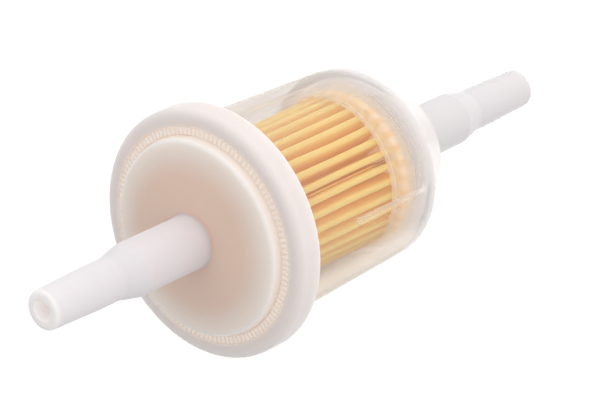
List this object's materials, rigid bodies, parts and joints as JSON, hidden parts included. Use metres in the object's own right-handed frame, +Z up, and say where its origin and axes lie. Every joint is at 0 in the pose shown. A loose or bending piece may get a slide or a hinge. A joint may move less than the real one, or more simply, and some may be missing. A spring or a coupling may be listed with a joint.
{
  "type": "inline fuel filter",
  "caption": "Inline fuel filter with a translucent nylon bowl, a flanged cap, a pleated paper element and a stepped hose spigot on each end.",
  "frame": {"origin": "on the filter's axis, midway between the two spigot tips", "axes": "+X along the axis from the flanged cap's spigot to the bowl's spigot, +Z up; the bowl's first guide rib faces -Y"},
  "size_m": [0.105, 0.037, 0.037],
  "materials": {
    "bowl_nylon": "translucent natural nylon, satin",
    "cap_nylon": "milky natural nylon, satin",
    "filter_paper": "resin-treated pleated filter paper",
    "seam_glue": "dried adhesive",
    "core_plastic": "moulded nylon",
    "end_cap_nylon": "thin translucent nylon",
    "seat_ring_nylon": "moulded nylon",
    "potting": "cured potting adhesive"
  },
  "bodies": {
    "root": {"bowl": "bowl_nylon", "flanged_cap": "cap_nylon", "pleated_paper": "filter_paper", "paper_seam_bead": "seam_glue", "support_core": "core_plastic", "element_end_cap": "end_cap_nylon", "element_seat_ring": "seat_ring_nylon", "end_cap_potting": "potting", "seat_ring_potting": "potting"}
  },
  "joints": []
}
